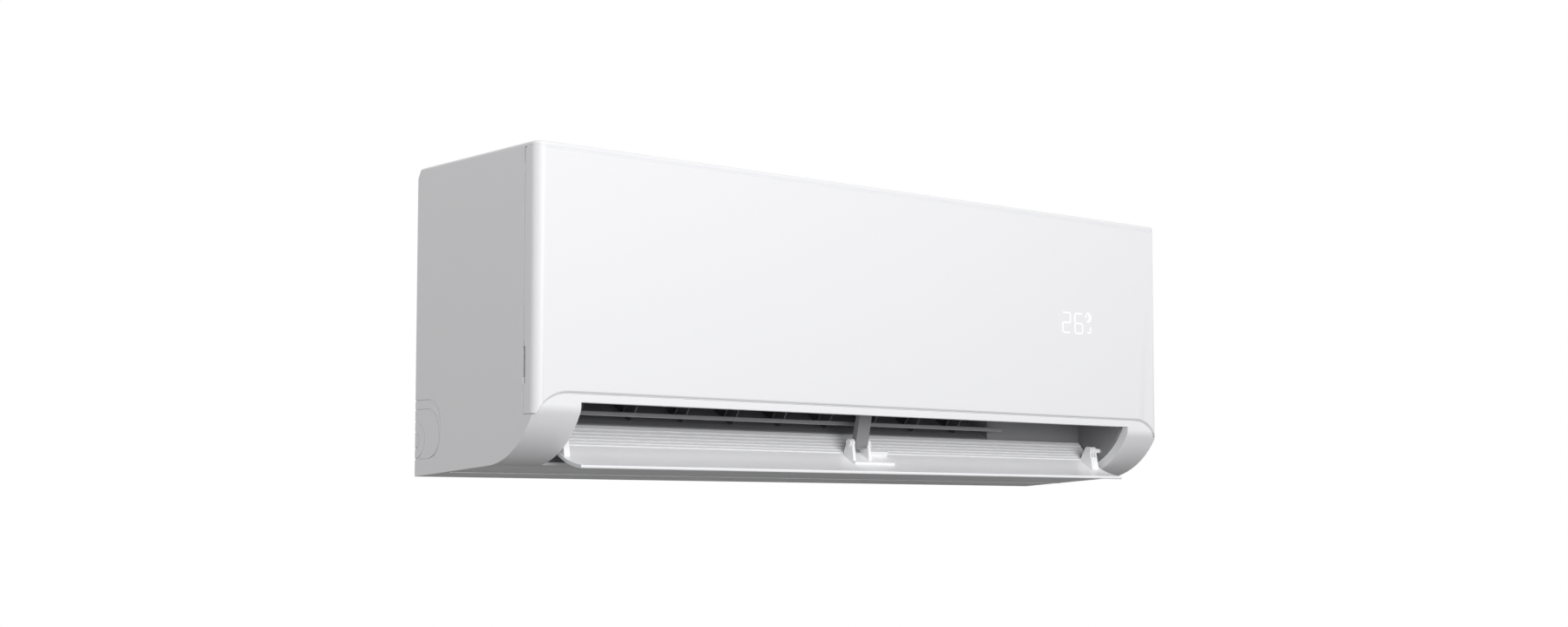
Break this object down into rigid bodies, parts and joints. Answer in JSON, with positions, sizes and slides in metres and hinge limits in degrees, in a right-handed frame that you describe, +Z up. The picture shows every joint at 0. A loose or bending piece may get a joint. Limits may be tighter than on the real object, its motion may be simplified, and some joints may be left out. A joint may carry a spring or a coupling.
{
  "type": "wall-mounted split air conditioner indoor unit",
  "caption": "White wall-mounted air conditioner indoor unit: plain hinged front panel, curved outlet flap held open, swing vanes in the outlet, filters on top, fan and coil inside.",
  "frame": {"origin": "on the wall, in the middle of the wall plate screws", "axes": "+X to the right seen from the front, along the unit; +Y into the wall; +Z up; the front faces -Y"},
  "size_m": [0.79, 0.192, 0.275],
  "materials": {
    "casing_white": "satin moulded ABS",
    "duct_grey": "matt moulded polystyrene",
    "vane_dark": "matt moulded polypropylene",
    "filter_grey": "matt polypropylene",
    "zinc_steel": "zinc plated sheet",
    "coil_aluminium": "bare fin stock",
    "copper": "drawn copper tube",
    "brass": "turned brass",
    "motor_paint": "black lacquer",
    "rubber_black": "moulded rubber",
    "box_plastic": "matt flame-retardant ABS",
    "board_green": "solder-masked laminate"
  },
  "bodies": {
    "case": {"wall_plate": "zinc_steel", "rear_chassis": "casing_white", "front_casing": "casing_white", "intake_grille": "casing_white", "outlet_duct": "duct_grey", "guard_bar": "duct_grey", "flap_support_arm": "duct_grey", "front_coil": "coil_aluminium", "top_coil": "coil_aluminium", "rear_coil": "coil_aluminium", "tube_sheet_left": "zinc_steel", "tube_sheet_right": "zinc_steel", "return_bends_left": "copper", "return_bends_right": "copper", "liquid_pipe": "copper", "gas_pipe": "copper", "flare_nuts": "brass", "drain_spigot": "box_plastic", "fan_motor": "motor_paint", "motor_clamp": "zinc_steel", "fan_bearing": "rubber_black", "control_box": "box_plastic", "control_box_cover": "box_plastic", "control_board": "board_green", "terminal_block": "box_plastic", "display_board": "box_plastic", "service_switch": "box_plastic", "temperature_sensor": "box_plastic", "casing_screws": "zinc_steel", "flap_motor": "motor_paint", "vane_motor_left": "duct_grey", "vane_motor_right": "duct_grey"},
    "panel": {"front_panel": "casing_white", "panel_hinge_pins": "casing_white"},
    "filter_left": {"filter_left_frame": "filter_grey", "filter_left_mesh": "filter_grey"},
    "filter_right": {"filter_right_frame": "filter_grey", "filter_right_mesh": "filter_grey"},
    "fan": {"cross_flow_fan": "vane_dark", "fan_shaft": "zinc_steel", "motor_shaft": "zinc_steel"},
    "flap_body": {"flap": "casing_white", "flap_left_lug": "casing_white", "flap_right_lug": "casing_white", "flap_centre_clip": "casing_white", "flap_centre_pin": "casing_white"},
    "vane_1_body": {"vane_1": "vane_dark"},
    "vane_2_body": {"vane_2": "vane_dark"},
    "vane_3_body": {"vane_3": "vane_dark"},
    "vane_4_body": {"vane_4": "vane_dark"},
    "vane_5_body": {"vane_5": "vane_dark"},
    "vane_6_body": {"vane_6": "vane_dark"},
    "vane_7_body": {"vane_7": "vane_dark"},
    "vane_8_body": {"vane_8": "vane_dark"},
    "vane_9_body": {"vane_9": "vane_dark"},
    "link_left": {"link_bar_left": "vane_dark"},
    "link_right": {"link_bar_right": "vane_dark"},
    "button": {"service_button": "box_plastic"}
  },
  "joints": [
    {"name": "panel_hinge", "type": "hinge", "parent": "case", "child": "panel", "pos_m": [0, -0.186, 0.115], "axis": [-1, 0, 0], "range_deg": [0, 60]},
    {"name": "flap_hinge", "type": "hinge", "parent": "case", "child": "flap_body", "pos_m": [0, -0.1514, -0.11502], "axis": [1, 0, 0], "range_deg": [-72, 8]},
    {"name": "fan_spin", "type": "hinge", "parent": "case", "child": "fan", "pos_m": [0, -0.082, -0.016], "axis": [1, 0, 0], "continuous": true},
    {"name": "filter_left_lift", "type": "slide", "parent": "case", "child": "filter_left", "axis": [0, 0, 1], "range_m": [0, 0.06]},
    {"name": "filter_right_lift", "type": "slide", "parent": "case", "child": "filter_right", "axis": [0, 0, 1], "range_m": [0, 0.06]},
    {"name": "service_press", "type": "slide", "parent": "case", "child": "button", "axis": [0, 1, 0], "range_m": [0, 0.0015], "stiffness_N_per_m": 400},
    {"name": "vane_1_swing", "type": "hinge", "parent": "case", "child": "vane_1_body", "pos_m": [-0.304, -0.10721, -0.09462], "axis": [0, -0.5446, 0.8387], "range_deg": [-30, 30]},
    {"name": "vane_2_swing", "type": "hinge", "parent": "case", "child": "vane_2_body", "pos_m": [-0.246, -0.10721, -0.09462], "axis": [0, -0.5446, 0.8387], "range_deg": [-30, 30]},
    {"name": "vane_3_swing", "type": "hinge", "parent": "case", "child": "vane_3_body", "pos_m": [-0.188, -0.10721, -0.09462], "axis": [0, -0.5446, 0.8387], "range_deg": [-30, 30]},
    {"name": "vane_4_swing", "type": "hinge", "parent": "case", "child": "vane_4_body", "pos_m": [-0.13, -0.10721, -0.09462], "axis": [0, -0.5446, 0.8387], "range_deg": [-30, 30]},
    {"name": "vane_5_swing", "type": "hinge", "parent": "case", "child": "vane_5_body", "pos_m": [-0.072, -0.10721, -0.09462], "axis": [0, -0.5446, 0.8387], "range_deg": [-30, 30]},
    {"name": "vane_6_swing", "type": "hinge", "parent": "case", "child": "vane_6_body", "pos_m": [-0.014, -0.10721, -0.09462], "axis": [0, -0.5446, 0.8387], "range_deg": [-30, 30]},
    {"name": "vane_7_swing", "type": "hinge", "parent": "case", "child": "vane_7_body", "pos_m": [0.044, -0.10721, -0.09462], "axis": [0, -0.5446, 0.8387], "range_deg": [-30, 30]},
    {"name": "vane_8_swing", "type": "hinge", "parent": "case", "child": "vane_8_body", "pos_m": [0.102, -0.10721, -0.09462], "axis": [0, -0.5446, 0.8387], "range_deg": [-30, 30]},
    {"name": "vane_9_swing", "type": "hinge", "parent": "case", "child": "vane_9_body", "pos_m": [0.16, -0.10721, -0.09462], "axis": [0, -0.5446, 0.8387], "range_deg": [-30, 30]},
    {"name": "link_left_pivot", "type": "hinge", "parent": "vane_1_body", "child": "link_left", "pos_m": [-0.304, -0.09362, -0.07149], "axis": [0, -0.5446, 0.8387], "range_deg": [-30, 30]},
    {"name": "link_right_pivot", "type": "hinge", "parent": "vane_6_body", "child": "link_right", "pos_m": [-0.014, -0.09362, -0.07149], "axis": [0, -0.5446, 0.8387], "range_deg": [-30, 30]}
  ],
  "couplings": [
    {"joint": "vane_2_swing", "follows": "vane_1_swing", "ratio": 1},
    {"joint": "vane_3_swing", "follows": "vane_1_swing", "ratio": 1},
    {"joint": "vane_4_swing", "follows": "vane_1_swing", "ratio": 1},
    {"joint": "vane_5_swing", "follows": "vane_1_swing", "ratio": 1},
    {"joint": "vane_7_swing", "follows": "vane_6_swing", "ratio": 1},
    {"joint": "vane_8_swing", "follows": "vane_6_swing", "ratio": 1},
    {"joint": "vane_9_swing", "follows": "vane_6_swing", "ratio": 1},
    {"joint": "link_left_pivot", "follows": "vane_1_swing", "ratio": -1},
    {"joint": "link_right_pivot", "follows": "vane_6_swing", "ratio": -1}
  ]
}
